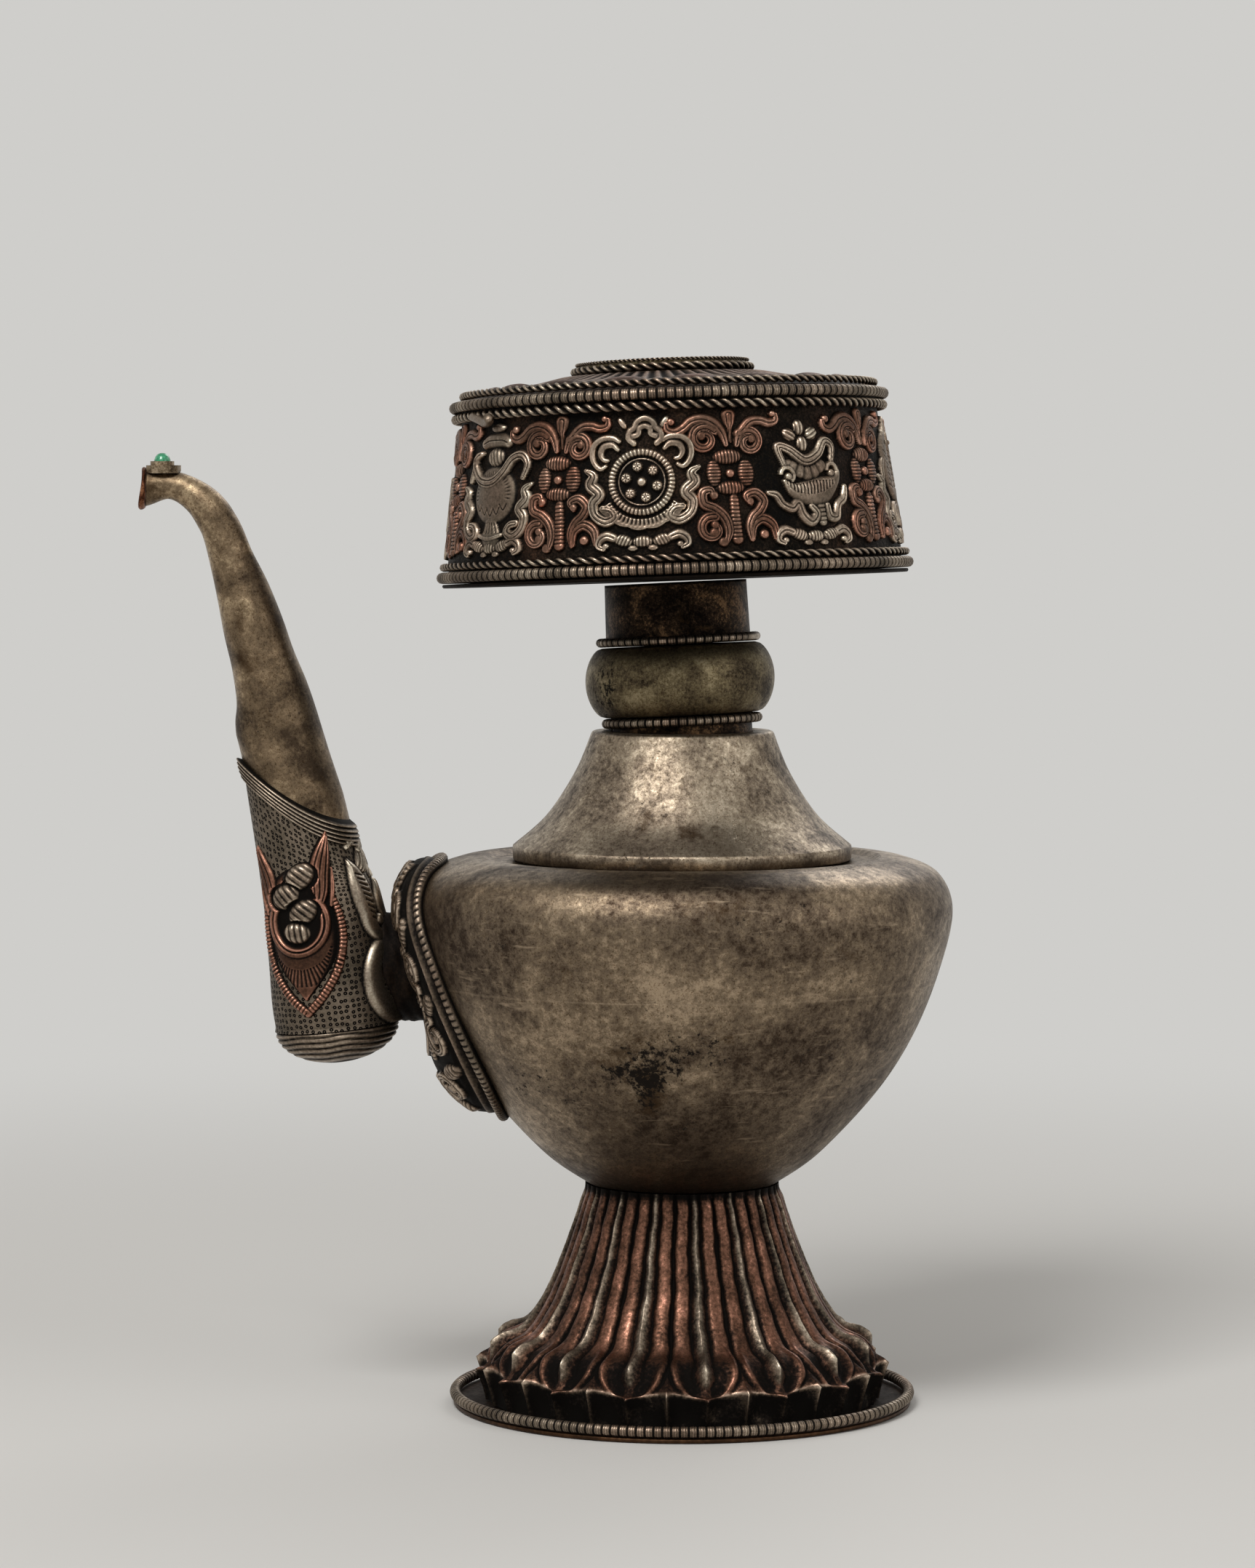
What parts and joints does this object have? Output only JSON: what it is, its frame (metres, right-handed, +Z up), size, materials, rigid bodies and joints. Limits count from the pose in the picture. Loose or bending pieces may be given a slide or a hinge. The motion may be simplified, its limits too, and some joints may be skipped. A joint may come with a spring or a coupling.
{
  "type": "ritual vase",
  "caption": "Footed ritual vase with a long upright spout, bell shoulder, knopped neck and drum crown with relief plaques; the upper section plugs in and lifts out.",
  "frame": {"origin": "centre of the underside of the base plate", "axes": "+Z up along the vessel's axis, -X towards the spout, -Y towards the front"},
  "size_m": [0.2176, 0.145, 0.2813],
  "materials": {
    "silver_sheet": "tarnished, hammered, worn to brown in places",
    "silver_relief": "chased and worn bright on the high places",
    "silver_wire": "worn wire with dark hollows",
    "dark_silver": "blackened, matt",
    "copper_relief": "worn red copper with dark hollows",
    "copper_sheet": "brown patina",
    "turquoise": "polished green stone"
  },
  "bodies": {
    "vessel": {"base_plate": "copper_sheet", "base_bead_wire": "silver_wire", "lotus_foot": "silver_relief", "bowl_lower": "silver_sheet", "bowl_upper": "silver_sheet", "bell_collar": "silver_sheet", "escutcheon_plate": "silver_relief", "escutcheon_rope_wire": "silver_wire", "spout_socket": "silver_sheet", "spout_boot": "silver_relief", "spout_boot_cap": "silver_relief", "spout_boot_band": "silver_relief", "spout_medallion": "copper_relief", "spout_medallion_back": "copper_relief", "spout_horn": "silver_sheet", "spout_lip": "copper_relief", "stone_bezel": "silver_wire", "turquoise_stone": "turquoise"},
    "upper_section": {"neck_spigot": "dark_silver", "lower_bead_ring": "silver_wire", "neck_knop": "silver_sheet", "upper_bead_ring": "silver_wire", "neck_tube": "dark_silver", "crown_underplate": "dark_silver", "crown_bottom_bead_wire": "silver_wire", "crown_bottom_rope_wire": "silver_wire", "crown_band": "dark_silver", "crown_lower_rope_wire": "silver_wire", "crown_top_bead_wire": "silver_wire", "crown_lid": "silver_relief", "crown_upper_rope_wire": "silver_wire", "mouth_collar": "silver_sheet", "mouth_rope_wire": "silver_wire", "mouth_lip_wire": "silver_wire", "crown_symbol_wheel": "silver_relief", "crown_symbol_vase": "silver_relief", "crown_symbol_banner": "silver_relief", "crown_symbol_knot": "silver_relief", "crown_symbol_conch": "silver_relief", "crown_symbol_lotus": "silver_relief", "crown_symbol_fishes": "silver_relief", "crown_symbol_parasol": "silver_relief", "crown_flower_1": "copper_relief", "crown_flower_2": "copper_relief", "crown_flower_3": "copper_relief", "crown_flower_4": "copper_relief", "crown_flower_5": "copper_relief", "crown_flower_6": "copper_relief", "crown_flower_7": "copper_relief", "crown_flower_8": "copper_relief"}
  },
  "joints": [
    {"name": "upper_section_lift", "type": "slide", "parent": "vessel", "child": "upper_section", "axis": [-0.0488, 0.0296, 0.9984], "range_m": [0, 0.016]}
  ]
}
